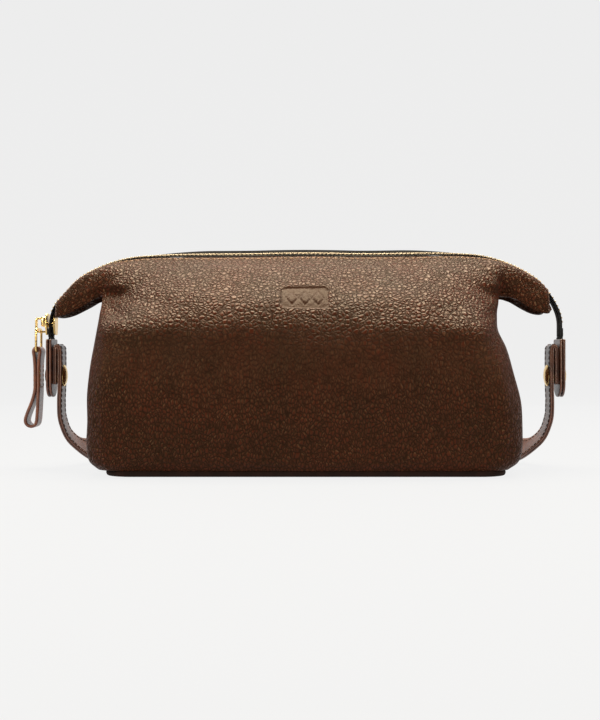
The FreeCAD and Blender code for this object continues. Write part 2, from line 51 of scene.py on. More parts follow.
SHOULDER = (-131.5, 86.6, 24.0)         # centre x, centre z and radius of the zip's tight turn
TURNS = ((24.0, 49.0), (86.0, 35.0))    # radius and turn of the zip's arcs, from the tail up
TOP_TURN = 6.0                          # what is left of the turn, spread over the flat top
TAIL_BOTTOM = 79.5
TOOTH_PITCH = 2.54
ZIP_TILT = 0.12                         # how far the zip leans to the front, on the middle of the bag
LEATHER_THICK = 1.9
SNAP_Z = 56.0
TAB_FACE = 155.7
STRAP_X = 147.7
STRAP_LAYER = 1.2
LINK_X = -161.9
MOTIF = (-0.5, 101.0)                   # middle of the pressed motif: x and height
MOTIF_SIZE = (13.5, 6.8)                # its half length and half height
SIDES = ((-1, "left"), (1, "right"))
ACROSS = np.array((0.0, 1.0, 0.0))      # across the zip, the strap's ends and the pull


# ---- the zip's line

def zip_arcs():
    """(centre x, centre z, radius, start angle, end angle) of the left half of the zip's outer line."""
    cx, cz, first = SHOULDER
    arcs, angle = [], 180.0
    for radius, turn in TURNS:
        if arcs:
            cx += math.cos(math.radians(angle)) * (first - radius)
            cz += math.sin(math.radians(angle)) * (first - radius)
        arcs.append((cx, cz, radius, angle, angle - turn))
        angle -= turn
    ex = cx + math.cos(math.radians(angle)) * TURNS[-1][0]
    ez = cz + math.sin(math.radians(angle)) * TURNS[-1][0]
    radius = abs(ex) / math.sin(math.radians(TOP_TURN))
    arcs.append((0.0, ez - radius * math.cos(math.radians(TOP_TURN)), radius, angle, 90.0))
    return arcs


ARCS = zip_arcs()
STRAIGHT = SHOULDER[1] - TAIL_BOTTOM
HALF_ZIP = STRAIGHT + sum(arc[2] * math.radians(arc[3] - arc[4]) for arc in ARCS)


def smooth_step(value):
    value = np.clip(value, 0, 1)
    return value * value * (3 - 2 * value)


def tilt_at(x):
    """The zip's lean, which fades out towards the drooping ends."""
    return ZIP_TILT * smooth_step((125.0 - np.abs(x)) / 70.0)


# The soft zip stands a little higher than its plain arcs between the middle and each end:
# how high, and where it has come back to them.
CROWN = {-1: (3.2, 149.0), 1: (4.6, 154.5)}


def crown(x):
    high, end = CROWN[-1 if x < 0 else 1]
    return float(high * smooth_step((abs(x) - 25) / 85) * smooth_step((end - abs(x)) / 15))


def zip_frame(distance, inset=0.0):
    """Point (x, z) and outward angle at a distance along the zip from the left tail's end."""
    mirrored = distance > HALF_ZIP
    run = 2 * HALF_ZIP - distance if mirrored else distance
    if run <= STRAIGHT:
        x, z, angle = SHOULDER[0] - SHOULDER[2] + inset, TAIL_BOTTOM + run, 180.0
    else:
        run -= STRAIGHT
        for arc in ARCS:
            length = arc[2] * math.radians(arc[3] - arc[4])
            if run <= length + 1e-6:
                break
            run -= length
        angle = arc[3] - math.degrees(run / arc[2])
        x = arc[0] + math.cos(math.radians(angle)) * (arc[2] - inset)
        z = arc[1] + math.sin(math.radians(angle)) * (arc[2] - inset)
    if mirrored:
        x, angle = -x, 180.0 - angle
    return x, z + crown(x), angle


def zip_height(x):
    """Height of the zip's outer line over x, on the stretch that faces up."""
    for cx, cz, radius, start, end in reversed(ARCS):
        if -abs(x) >= cx + radius * math.cos(math.radians(start)) - 1e-6:
            return cz + math.sqrt(max(radius ** 2 - (-abs(x) - cx) ** 2, 0.0)) + crown(x)
    return SHOULDER[1]


# ---- mesh helpers

def mesh_object(name, verts, faces, material, smooth=True):
    """A new object from millimetre points."""
    mesh = bpy.data.meshes.new(name)
    mesh.from_pydata([tuple(float(c) * MM for c in v) for v in verts], [], [tuple(f) for f in faces])
    mesh.validate()
    item = bpy.data.objects.new(name, mesh)
    bpy.context.scene.collection.objects.link(item)
    mesh.polygons.foreach_set("use_smooth", [smooth] * len(mesh.polygons))
    mesh.materials.append(material)
    return item


def consistent(item):
    """Make every face look outwards."""
    work = bmesh.new()
    work.from_mesh(item.data)
    bmesh.ops.remove_doubles(work, verts=work.verts, dist=1e-7)
    bmesh.ops.recalc_face_normals(work, faces=work.faces)
    work.to_mesh(item.data)
    work.free()
    return item


def subdivided(item):
    modifier = item.modifiers.new("subdivision", "SUBSURF")
    modifier.levels = modifier.render_levels = 1
    return item


def solidified(item, thick):
    modifier = item.modifiers.new("thickness", "SOLIDIFY")
    modifier.thickness = thick * MM
    modifier.offset = -1.0
    return item


def loft(rings, size, closed=False):
    """Quads from each ring of points to the next. closed joins the last ring to the first."""
    faces = []
    for i in range(rings if closed else rings - 1):
        j = (i + 1) % rings
        for k in range(size):
            n = (k + 1) % size
            faces.append((i * size + k, i * size + n, j * size + n, j * size + k))
    return faces


def end_caps(rings, size):
    return [tuple(reversed(range(size))), tuple((rings - 1) * size + k for k in range(size))]


def capped(rings, size):
    return loft(rings, size) + end_caps(rings, size)


def solid(name, shape, material, smooth=True):
    """A new object from (verts, faces), with every face looking outwards."""
    return consistent(mesh_object(name, *shape, material, smooth))


def joined(name, parts, material):
    """One mesh from many (verts, faces) pairs."""
    verts, faces = [], []
    for part_verts, part_faces in parts:
        base = len(verts)
        verts.extend(part_verts)
        faces.extend([tuple(base + i for i in face) for face in part_faces])
    return solid(name, (verts, faces), material)


def spline_weights(count, params):
    """Rows of Catmull-Rom weights: where each parameter, in control steps, reads the control points."""
    rows = np.zeros((len(params), count))
    for row, at in enumerate(params):
        step = min(int(at), count - 2)
        f = at - step
        weights = (-0.5 * f ** 3 + f * f - 0.5 * f, 1.5 * f ** 3 - 2.5 * f * f + 1,
                   -1.5 * f ** 3 + 2 * f * f + 0.5 * f, 0.5 * f ** 3 - 0.5 * f * f)
        for offset, weight in zip((-1, 0, 1, 2), weights):
            index = step + offset
            if index < 0:
                rows[row, 0] += 2 * weight
                rows[row, 1] -= weight
            elif index >= count:
                rows[row, count - 1] += 2 * weight
                rows[row, count - 2] -= weight
            else:
                rows[row, index] += weight
    return rows


def smooth_line(points, per_step=8, closed=False):
    """A Catmull-Rom line through points."""
    points = np.array(points, float)
    if closed:
        points = np.vstack([points[-2:], points, points[:3]])
        count = len(points)
        params = np.arange(2, count - 3 - 1e-9, 1.0 / per_step)
        return spline_weights(count, params) @ points
    count = len(points)
    params = np.append(np.arange(0, count - 1, 1.0 / per_step), count - 1)
    return spline_weights(count, params) @ points


def resampled(line, spacing):
    """Evenly spaced points along a polyline, and their real spacing."""
    steps = np.linalg.norm(np.diff(line, axis=0), axis=1)
    along = np.concatenate([[0], np.cumsum(steps)])
    count = max(int(along[-1] / spacing), 1)
    at = (np.arange(count) + 0.5) * along[-1] / count
    points = np.stack([np.interp(at, along, line[:, k]) for k in range(line.shape[1])], axis=1)
    return points, along[-1] / count


def unit(v):
    v = np.array(v, float)
    return v / max(np.linalg.norm(v), 1e-9)


def ribbon(line, ways, half_wide, near, far, rounding=0.35, closed=False):
    """A strip with rounded edges. ways are (across, face direction) at each point of the line."""
    half_thick, middle = (far - near) / 2, (far + near) / 2
    round_by = min(rounding, half_thick * 0.9)
    corner = [(half_wide - round_by, half_thick), (half_wide - round_by * 0.3, half_thick - round_by * 0.3),
              (half_wide, half_thick - round_by)]
    half_ring = [(half_wide * k / 4, half_thick) for k in range(-3, 4)] + corner
    half_ring += [(u, -v) for u, v in reversed(corner)]
    ring = half_ring + [(-u, -v) for u, v in half_ring]
    verts = [point + across * u + face_way * (v + middle)
             for point, (across, face_way) in zip(line, ways) for u, v in ring]
    faces = loft(len(line), len(ring), closed)
    return verts, faces if closed else faces + end_caps(len(line), len(ring))


def stitch(start, end, radius, up, flat=0.75, sides=8):
    """A short capsule, flattened along its up direction."""
    along = unit(end - start)
    across = unit(np.cross(along, up))
    up = np.cross(across, along)
    verts = []
    rings = ((0.06, 0.62), (0.2, 0.95), (0.5, 1.0), (0.8, 0.95), (0.94, 0.62))
    for at, grow in rings:
        for k in range(sides):
            turn = 2 * math.pi * k / sides
            verts.append(start + (end - start) * at + across * radius * grow * math.cos(turn)
                         + up * radius * flat * grow * math.sin(turn))
    size = len(verts)
    last = size - sides
    faces = loft(len(rings), sides)
    for k in range(sides):
        n = (k + 1) % sides
        faces += [(n, k, size), (last + k, last + n, size + 1)]
    return verts + [start, end], faces


def stitch_row(line, ups, pitch, radius=0.36, fill=0.72, sink=0.12):
    """Stitches along a line. ups are the surface's outward directions at its points."""
    both, real_pitch = resampled(np.hstack([line, ups]), pitch)
    parts = []
    for index, row in enumerate(both):
        point, up = row[:3], unit(row[3:])
        before, after = both[max(index - 1, 0), :3], both[min(index + 1, len(both) - 1), :3]
        half = unit(after - before) * real_pitch * fill / 2
        centre = point + up * (radius * 0.6 - sink)
        parts.append(stitch(centre - half, centre + half, radius, up))
    return parts


def plate(outline, thick, place, ways, round_by=0.4, steps=3):
    """A flat piece with rounded rims. outline is 2-D; place and ways (u, v, out) put it in space."""
    outline = np.array(outline, float)
    ahead, behind = np.roll(outline, -1, axis=0), np.roll(outline, 1, axis=0)
    tangent = ahead - behind
    normal = np.stack([tangent[:, 1], -tangent[:, 0]], axis=1)
    normal /= np.maximum(np.linalg.norm(normal, axis=1, keepdims=True), 1e-9)
    if np.sum(outline[:, 0] * ahead[:, 1] - ahead[:, 0] * outline[:, 1]) < 0:
        normal = -normal
    stack = [(round_by * 2.2, 0.0)]
    for inset in np.linspace(round_by, 0, steps + 1):
        stack.append((inset, round_by - math.sqrt(max(round_by ** 2 - (round_by - inset) ** 2, 0))))
    stack += [(inset, thick - depth) for inset, depth in reversed(stack)]
    place, u, v, out = (np.array(vector, float) for vector in (place, *ways))
    verts = [place + u * x + v * y + out * depth
             for inset, depth in stack for x, y in outline - normal * inset]
    return verts, capped(len(stack), len(outline))


def rounded_outline(corners, radii, steps=6):
    """A polygon with rounded corners, as points."""
    points = []
    count = len(corners)
    for index in range(count):
        here = np.array(corners[index], float)
        before = unit(np.array(corners[index - 1]) - here)
        after = unit(np.array(corners[(index + 1) % count]) - here)
        turn = math.acos(max(-1, min(1, float(np.dot(before, after)))))
        reach = radii[index] / math.tan(turn / 2)
        a, b = here + before * reach, here + after * reach
        centre = here + unit(before + after) * radii[index] / math.sin(turn / 2)
        for k in range(steps + 1):
            blend = a + (b - a) * k / steps
            points.append(centre + unit(blend - centre) * radii[index])
    return points


def closed_tube(line, radius, sides=12):
    """A round bar along a closed line."""
    line = np.array(line, float)
    verts, up = [], None
    for i, point in enumerate(line):
        along = unit(line[(i + 1) % len(line)] - line[i - 1])
        if up is None:
            up = unit(np.cross(along, (0.3, 0.9, 0.2)))
        up = unit(up - along * np.dot(up, along))
        side = np.cross(along, up)
        for k in range(sides):
            turn = 2 * math.pi * k / sides
            verts.append(point + (up * math.cos(turn) + side * math.sin(turn)) * radius)
    return verts, loft(len(line), sides, closed=True)


def attach(item, body, node=None):
    """Tie a finished mesh to its moving body and the CAD piece that it replaces."""
    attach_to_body(item, body)
    if node:
        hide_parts(node)


def recolour(node, material):
    """Give a CAD piece that is shown as it is its material."""
    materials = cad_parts[node].data.materials
    materials.clear()
    materials.append(material)


# ---- materials

def new_material(name):
    material = bpy.data.materials.new(name)
    material.use_nodes = True
    tree = material.node_tree
    return material, tree, tree.nodes["Principled BSDF"]


def put(tree, node, inputs):
    """Fill a node's inputs, given by name or index: a socket is linked, a plain value is set."""
    for key, value in inputs.items():
        if isinstance(value, bpy.types.NodeSocket):
            tree.links.new(value, node.inputs[key])
        else:
            node.inputs[key].default_value = value
    return node


def add(tree, kind, inputs, **settings):
    node = tree.nodes.new(f"ShaderNode{kind}")
    for key, value in settings.items():
        setattr(node, key, value)
    return put(tree, node, inputs)


def noise_at(tree, where, scale, detail, **inputs):
    return add(tree, "TexNoise", dict(Vector=where, Scale=scale, Detail=detail, **inputs))


def colour_ramp(tree, source, stops, interpolation="LINEAR"):
    """stops are (place, grey) or (place, colour)."""
    node = add(tree, "ValToRGB", {0: source})
    node.color_ramp.interpolation = interpolation
    elements = node.color_ramp.elements
    while len(elements) < len(stops):
        elements.new(0.5)
    for element, (at, colour) in zip(elements, stops):
        element.position = at
        element.color = (colour if isinstance(colour, tuple) else (colour,) * 3) + (1.0,)
    return node.outputs[0]


def maths(tree, operation, a, b=0.0, clamp=False):
    return add(tree, "Math", {0: a, 1: b}, operation=operation, use_clamp=clamp).outputs[0]


def vector(tree, operation, a, b):
    second = "Scale" if operation == "SCALE" else 1
    return add(tree, "VectorMath", {0: a, second: b}, operation=operation).outputs[0]


def mixed(tree, factor, a, b, blend="MIX"):
    a, b = (colour + (1.0,) if isinstance(colour, tuple) else colour for colour in (a, b))
    return add(tree, "Mix", {0: factor, 6: a, 7: b}, data_type="RGBA", blend_type=blend).outputs[2]


def millimetres(tree):
    """Object coordinates in millimetres."""
    return vector(tree, "SCALE", add(tree, "TexCoord", {}).outputs["Object"], 1 / MM)


def warped(tree, where, size_mm, amount):
    """Coordinates bent by a soft ripple, so that no pattern runs straight."""
    ripple = noise_at(tree, where, 1.0 / size_mm, 2.0)
    centred = vector(tree, "SUBTRACT", ripple.outputs["Color"], (0.5, 0.5, 0.5))
    return vector(tree, "ADD", where, vector(tree, "SCALE", centred, amount))


def pebbles(tree, where, size_mm):
    """Height of a pebbled grain, 0 in the creases and 1 on the tops."""
    inputs = {"Vector": where, "Scale": 1.0 / size_mm, "Randomness": 0.95}
    cells = add(tree, "TexVoronoi", inputs, feature="DISTANCE_TO_EDGE")
    stops = [(0.0, 0.0), (0.1, 0.36), (0.28, 0.84), (0.5, 1.0)]
    return colour_ramp(tree, cells.outputs["Distance"], stops, "B_SPLINE")


def bump_chain(tree, shader, layers):
    """Bump nodes one on another: (height socket, distance in millimetres)."""
    last = None
    for height, distance in layers:
        node = add(tree, "Bump", {"Strength": 1.0, "Distance": distance * MM, "Height": height})
        if last:
            put(tree, node, {"Normal": last})
        last = node.outputs["Normal"]
    put(tree, shader, {"Normal": last})


def plaque_mask(tree, split):
    """1 on the pressed motif, where the grain is flattened, and 0 elsewhere."""
    away = []
    for axis, middle, half in ((0, MOTIF[0], MOTIF_SIZE[0]), (2, MOTIF[1], MOTIF_SIZE[1])):
        offset = maths(tree, "ABSOLUTE", maths(tree, "SUBTRACT", split.outputs[axis], middle))
        away.append(maths(tree, "DIVIDE", offset, half))
    inside = maths(tree, "SUBTRACT", 1.03, maths(tree, "MAXIMUM", *away))
    inside = maths(tree, "MULTIPLY", inside, 8.0, clamp=True)
    return maths(tree, "MULTIPLY", inside, maths(tree, "LESS_THAN", split.outputs[1], 0.0))


def pebbled_leather(name, painted_crease_shade, top):
    """Full-grain leather: pebbles large on the roof and fine low down, and painted shade in the creases,
    which are darker than the tops.
    """
    material, tree, shader = new_material(name)
    where = millimetres(tree)
    bent = warped(tree, where, 7.0, 3.0)
    split = add(tree, "SeparateXYZ", {0: where})
    patch = noise_at(tree, where, 0.035, 3.0).outputs[0]
    high_up = maths(tree, "MULTIPLY", maths(tree, "SUBTRACT", split.outputs[2], 62.0), 0.028)
    large = maths(tree, "ADD", high_up, maths(tree, "SUBTRACT", patch, 0.1), clamp=True)
    coarse = pebbles(tree, bent, 2.45)
    fine = pebbles(tree, vector(tree, "MULTIPLY", bent, (1.0, 0.8, 0.6)), 1.65)
    # The grain mixes the painted crease shade with the tops' colour; the pressed plaque's flat grain is held
    # at 0.32, so it takes part of that painted shade.
    grain = mixed(tree, plaque_mask(tree, split), mixed(tree, large, fine, coarse), (0.32,) * 3)
    pores = noise_at(tree, where, 1.6, 4.0, Roughness=0.6).outputs[0]
    drawn_up = vector(tree, "MULTIPLY", warped(tree, where, 14.0, 8.0), (0.34, 0.34, 0.07))
    creases = noise_at(tree, drawn_up, 1.0, 3.0, Distortion=0.4).outputs[0]
    worn = colour_ramp(tree, patch, [(0.3, (0.72, 0.7, 0.7)), (0.7, (1.15, 1.08, 1.05))])
    put(tree, shader, {
        "Base Color": mixed(tree, 1.0, mixed(tree, grain, painted_crease_shade, top), worn, "MULTIPLY"),
        "Roughness": colour_ramp(tree, grain, [(0.0, 0.85), (0.45, 0.5), (1.0, 0.33)]),
        "Specular IOR Level": 0.21, "Specular Tint": (1.0, 0.76, 0.42, 1.0),
    })
    bump_chain(tree, shader, [(creases, 0.9), (grain, 0.5), (pores, 0.05)])
    return material


def smooth_leather(name, colour, dark, roughness, gloss, specular=0.5):
    """Finished strap leather: fine pores, a little mottling, a soft gloss."""
    material, tree, shader = new_material(name)
    where = millimetres(tree)
    mottle = noise_at(tree, where, 0.16, 4.0, Roughness=0.6).outputs[0]
    grain = pebbles(tree, warped(tree, where, 3.0, 1.2), 0.9)
    pores = noise_at(tree, where, 3.0, 3.0).outputs[0]
    put(tree, shader, {
        "Base Color": mixed(tree, colour_ramp(tree, mottle, [(0.35, 0.0), (0.65, 1.0)]), dark, colour),
        "Roughness": colour_ramp(tree, pores, [(0.3, roughness + 0.1), (0.7, roughness)]),
        "Specular IOR Level": specular, "Coat Weight": gloss, "Coat Roughness": 0.16,
    })
    bump_chain(tree, shader, [(grain, 0.05), (pores, 0.04)])
    return material


def wave_at(tree, where, scale, distortion, direction):
    inputs = {"Vector": where, "Scale": scale, "Distortion": distortion}
    return add(tree, "TexWave", inputs, bands_direction=direction).outputs[1]


def thread(name, colour):
    """Twisted waxed thread, with painted shade in the twist's grooves."""
    material, tree, shader = new_material(name)
    twist = wave_at(tree, millimetres(tree), 1.4, 0.6, "DIAGONAL")
    # dark is painted shade: it falls where the twist's bump is low.
    dark = tuple(c * 0.55 for c in colour)
    put(tree, shader, {"Base Color": mixed(tree, twist, dark, colour), "Roughness": 0.55,
                       "Sheen Weight": 0.2})
    bump_chain(tree, shader, [(twist, 0.08)])
    return material


def gold(name, dull=(0.75, 0.47, 0.15), bright=(0.92, 0.68, 0.3), polish=0.16):
    """Gold-plated metal with faint handling marks."""
    material, tree, shader = new_material(name)
    marks = noise_at(tree, millimetres(tree), 0.8, 6.0, Roughness=0.7).outputs[0]
    put(tree, shader, {
        "Base Color": mixed(tree, marks, dull, bright), "Metallic": 1.0,
        "Roughness": colour_ramp(tree, marks, [(0.3, polish), (0.7, polish + 0.14)]),
    })
    bump_chain(tree, shader, [(marks, 0.015)])
    return material


def woven(name, colour, light, pitch_mm, depth=0.12, sheen=0.25):
    """Plain woven cloth, with painted shade between the threads."""
    material, tree, shader = new_material(name)
    where = millimetres(tree)
    threads = [wave_at(tree, where, 0.31 / pitch_mm, 0.3, direction) for direction in "XYZ"]
    cross = maths(tree, "MULTIPLY", maths(tree, "MAXIMUM", threads[0], threads[2]), threads[1])
    # colour is painted shade in the gaps where the threads' bump is low; light is the threads' own colour on
    # their tops.
    put(tree, shader, {"Base Color": mixed(tree, cross, colour, light), "Roughness": 0.85,
                       "Specular IOR Level": 0.2, "Sheen Weight": sheen})
    bump_chain(tree, shader, [(cross, depth)])
    return material


# Painted shade: the first colour is the shade in the creases, the second the pebble tops.
BAG = pebbled_leather("bag_leather_look", (0.008, 0.0014, 0.0006), (0.045, 0.0072, 0.003))
# The base's near-black colour is painted shade, standing in for the shadow under the bag's bulging wall.
BASE = smooth_leather("base_leather_painted_shade_look", (0.012, 0.0036, 0.002), (0.006, 0.002, 0.001), 0.8, 0.0, 0.12)
STRAP = smooth_leather("strap_leather_look", (0.11, 0.037, 0.017), (0.06, 0.019, 0.009), 0.3, 0.25)
STRAP_BACK = smooth_leather("strap_lining_look", (0.13, 0.042, 0.018), (0.075, 0.024, 0.01), 0.32, 0.25)
PULL = smooth_leather("pull_leather_look", (0.17, 0.043, 0.012), (0.09, 0.022, 0.007), 0.34, 0.3)
THREAD_DARK = thread("brown_thread_look", (0.09, 0.04, 0.02))
THREAD_TAN = thread("tan_thread_look", (0.34, 0.17, 0.07))
GOLD = gold("gold_look")
TEETH_GOLD = gold("teeth_look", (0.27, 0.21, 0.14), (0.44, 0.36, 0.26), 0.46)
TAPE = woven("zip_tape_look", (0.004, 0.0032, 0.003), (0.014, 0.011, 0.01), 0.6, 0.12, 0.0)
LINING = woven("lining_look", (0.1, 0.08, 0.065), (0.2, 0.165, 0.13), 0.6)
BOARD = woven("board_look", (0.22, 0.16, 0.11), (0.3, 0.23, 0.17), 1.4, 0.05)


# ---- the bag's skin

# The middle cross-section, from the zip over the roof and down the wall: depth and height.
MIDDLE = [(6.0, 129.1), (15.0, 123.4), (26.5, 116.2), (39.2, 107.6), (51.0, 97.6), (57.6, 85.5), (60.4, 72.0),
          (61.4, 57.0), (61.6, 43.0), (61.0, 29.0), (59.8, 16.5), (58.4, 8.0), (56.0, 3.0)]
ROOF_ROWS = 4
# How far each end reaches at the wall's rows, from just under the roof to the base seam.
REACH = {
    -1: [120.4, 122.0, 123.6, 124.8, 125.4, 125.4, 123.6, 118.0],
    1: [110.8, 114.6, 118.6, 121.6, 122.8, 123.0, 120.6, 115.0],
}
NOTCH_X = {-1: 120.4, 1: 115.6}
CORNER = [24.0, 23.0, 21.0, 19.0, 18.0, 17.0, 15.0, 13.0]
STATIONS = [0.0, 0.27, 0.53, 0.78, 1.0]
CORNER_ANGLES = [30.0, 57.0, 80.0]
# The line where roof becomes wall, out to the notch under the wing: x, depth, height.
SHOULDER_LINE = [(0, 51.0, 97.6), (26, 50.9, 97.6), (52, 49.6, 98.2), (76, 46.6, 98.8), (95, 40.0, 99.8),
                 (106, 31.5, 101.2), (112.5, 24.0, 102.8), (117, 17.0, 103.6)]
# The wing beyond the notch: x at the zip, then x, depth and height of its lower edge.
WING = [(124.5, 122.5, 15.0, 102.8), (131.0, 129.0, 13.6, 99.8), (137.5, 135.5, 13.0, 96.0),
        (143.0, 141.5, 12.6, 93.0), (147.5, 146.6, 12.2, 91.4), (149.6, 149.6, 10.6, 91.0),
        (150.2, 150.4, 6.6, 91.4)]
WING_REACH = {-1: 1.0, 1: 0.87}         # the right wing stops short of the zip's drooping end
WING_LIFT = {-1: 0.0, 1: 3.2}           # and its lower edge rises towards the tip
# The zip's x at each column, out to the notch.
TOP_X = [0, 27, 54, 80, 98, 108, 113.5, 118.5]
# How much of the way from the zip to the lower line each roof row lies, on the roof and on the wing.
ROOF_DEPTH = [0.0, 0.22, 0.47, 0.74, 1.0]
ROOF_DROP = [0.0, 0.185, 0.41, 0.68, 1.0]
WING_DEPTH = [0.0, 0.62, 0.93, 1.06, 1.0]
WING_DROP = [0.0, 0.1, 0.32, 0.66, 1.0]
NOTCH = len(SHOULDER_LINE) - 1
ROWS = len(MIDDLE)
HALF_COLUMNS = len(SHOULDER_LINE) + len(WING)


def half_net(sign):
    """Control points of the front leather from the middle to one tip, as rows by columns, front at -Y."""
    net = np.zeros((ROWS, HALF_COLUMNS, 3))
    top_x = TOP_X + [wing[0] for wing in WING]
    for column in range(HALF_COLUMNS):
        wing = column > NOTCH
        low, x_top = SHOULDER_LINE[min(column, NOTCH)], top_x[column]
        if wing:
            _, x, depth, height = WING[column - NOTCH - 1]
            tip = (column - NOTCH) / len(WING)
            x_top = top_x[NOTCH] + (x_top - top_x[NOTCH]) * WING_REACH[sign]
            x_low = top_x[NOTCH] + (x - top_x[NOTCH]) * WING_REACH[sign]
            low = (x_low, depth, height + WING_LIFT[sign] * tip ** 2)
        elif column == NOTCH:
            low = (NOTCH_X[sign],) + low[1:]
        edge = (x_top, 6.0, zip_height(sign * x_top) - 1.5 - 0.8 * max(0.0, (x_top - 146) / 4))
        blend = smooth_step((column - 4) / 4.0)
        for row in range(ROOF_ROWS + 1):
            depth = ROOF_DEPTH[row] * (1 - blend) + WING_DEPTH[row] * blend
            drop = ROOF_DROP[row] * (1 - blend) + WING_DROP[row] * blend
            net[row, column] = (sign * (edge[0] + (low[0] - edge[0]) * drop),
                                -(edge[1] + (low[1] - edge[1]) * depth), edge[2] + (low[2] - edge[2]) * drop)
        for row in range(ROOF_ROWS + 1, ROWS):
            under = row - ROOF_ROWS
            if column == NOTCH + 1:
                net[row, column] = 2 * net[row, NOTCH] - net[row, NOTCH - 1]
                continue
            if wing:
                net[row, column] = (sign * low[0], -max(low[1] - 2.5 * under, 0.5), low[2] + 0.5 * under)
                continue
            reach, corner, depth = REACH[sign][under - 1], CORNER[under - 1], MIDDLE[row][0]
            if column < len(STATIONS):
                flat = STATIONS[column]
                net[row, column] = (sign * flat * (reach - corner), -depth + 1.2 * flat ** 2, MIDDLE[row][1])
            else:
                turn = math.radians(CORNER_ANGLES[column - len(STATIONS)])
                net[row, column] = (sign * (reach - corner + corner * math.sin(turn)),
                                    -(depth - 1.2 - corner + corner * math.cos(turn)), MIDDLE[row][1])
    return net


def parameters(count, fine_from, fine_to, coarse, fine):
    """Sample positions in control steps, closer together over one stretch."""
    at, params = 0.0, []
    while at < count - 1 - 1e-9:
        params.append(at)
        nearest = int(at) + 1
        step = 1.0 / (fine if fine_from <= at < fine_to else coarse)
        at = float(nearest) if at + step > nearest - 1e-6 else at + step
    return np.array(params + [float(count - 1)])


NET = np.concatenate([half_net(-1)[:, :0:-1], half_net(1)], axis=1)
MIDDLE_COLUMN = HALF_COLUMNS - 1
COLUMN_AT = parameters(NET.shape[1], MIDDLE_COLUMN - 0.72, MIDDLE_COLUMN + 0.72, 9, 46)
ROW_AT = parameters(ROWS, 2.8, 4.45, 7, 26)


def lumps(point, scale, seed):
    return noise.noise(Vector(((point[0] + seed) / scale, point[1] / scale, point[2] / scale)))


def fold_line(point, start, end, width, depth):
    """A soft valley (or a ridge, if depth is negative) along a line seen from the front."""
    a, b = np.array(start, float), np.array(end, float)
    p = np.array((point[0], point[2]))
    along = np.clip(np.dot(p - a, b - a) / np.dot(b - a, b - a), 0, 1)
    away = np.linalg.norm(p - (a + (b - a) * along))
    fade = math.sin(math.pi * min(max(0.08 + 0.84 * along, 0), 1))
    return -depth * fade * math.exp(-(away / width) ** 2)


# Soft folds seen from the front: start and end as x and height, width, depth. The back has the first of them.
FOLDS = [
    ((-119, 101), (-92, 112), 4.0, 1.5), ((-118, 97), (-99, 88), 3.6, 1.3),
    ((-124, 108), (-104, 117), 2.6, 0.8), ((119, 101), (92, 111), 4.0, 1.5),
    ((115, 96), (98, 88), 3.6, 1.2), ((126, 107), (108, 115), 2.4, 0.8),
    ((-112, 92), (-106, 66), 5.0, 0.9), ((107, 90), (104, 64), 5.0, 0.9),
    ((-104, 60), (-110, 22), 5.0, -0.8), ((106, 56), (112, 22), 5.0, -0.8),
    ((-70, 84), (-88, 60), 6.0, 0.6), ((66, 82), (86, 58), 6.0, 0.6),
    ((-140, 106), (-128, 113), 2.2, 0.6), ((141, 105), (130, 112), 2.2, 0.6),
    ((-60, 20), (-20, 14), 7.0, 0.5), ((30, 14), (74, 22), 7.0, 0.5),
]
BACK_FOLDS = FOLDS[:12]
LOZENGES = (-7.4, 0.0, 7.4)


def soft_mask(edge, blur):
    """1 where edge is below 0 and 0 where it is above, with a soft step between."""
    return 1.0 / (1.0 + math.exp(np.clip(edge / blur, -30, 30)))


def motif_depth(point):
    """A plain pressed plaque: an oblong panel with three grooved lozenges in a row."""
    across, up = point[0] - MOTIF[0], (point[2] - MOTIF[1]) * 1.12
    if abs(across) >= 18 or abs(up) >= 13.44:
        return 0.0
    edge = math.hypot(max(abs(across) - MOTIF_SIZE[0] + 3.0, 0), max(abs(up) - MOTIF_SIZE[1] + 3.0, 0)) - 3.0
    nearest = min(abs(across - shift) / 3.3 + abs(up) / 4.2 for shift in LOZENGES) - 1.0
    groove = math.exp(-(nearest / 0.2) ** 2)
    return -0.8 * soft_mask(edge, 0.14) - 0.5 * groove + 0.35 * soft_mask(nearest, 0.07)


def grid_normals(grid):
    du = np.gradient(grid, axis=1)
    dv = np.gradient(grid, axis=0)
    normal = np.cross(dv, du)
    normal /= np.maximum(np.linalg.norm(normal, axis=2, keepdims=True), 1e-9)
    return normal


def dressed_grid(front):
    """The leather's outer surface, with sag, wrinkles and (in front) the pressed motif."""
    grid = spline_weights(ROWS, ROW_AT) @ NET.reshape(ROWS, -1)
    grid = grid.reshape(len(ROW_AT), NET.shape[1], 3)
    grid = np.einsum("ab,rbc->rac", spline_weights(NET.shape[1], COLUMN_AT), grid)
    normal = grid_normals(grid)
    out = grid.copy()
    seed = 0.0 if front else 137.0
    for r in range(grid.shape[0]):
        edge = min(1.0, ROW_AT[r] / 0.8) * min(1.0, (ROWS - 1 - ROW_AT[r]) / 1.2)
        for c in range(grid.shape[1]):
            p = grid[r, c]
            tip = np.clip((152 - abs(p[0])) / 22.0, 0.15, 1)
            move = 1.1 * lumps(p, 46.0, seed) + 0.55 * lumps(p, 19.0, seed + 40)
            squeezed = (p[0], p[1], p[2] * 0.32)
            low = np.clip((78 - p[2]) / 40.0, 0, 1)
            move += (0.12 + 0.3 * low) * lumps(squeezed, 6.5, seed + 90)
            if front:
                move += sum(fold_line(p, *fold) for fold in FOLDS)
            else:
                move += sum(fold_line((-p[0], p[1], p[2]), *fold) for fold in BACK_FOLDS)
            move = move * edge * tip + (motif_depth(p) if front else 0.0)
            out[r, c] = p + normal[r, c] * move
    lean = tilt_at(out[:, :, 0]) * np.clip((22 - np.abs(out[:, :, 1])) / 14, 0, 1)
    out[:, :, 2] += lean * out[:, :, 1] * (1 if front else -1)
    if not front:
        out[:, :, 1] *= -1
    return out


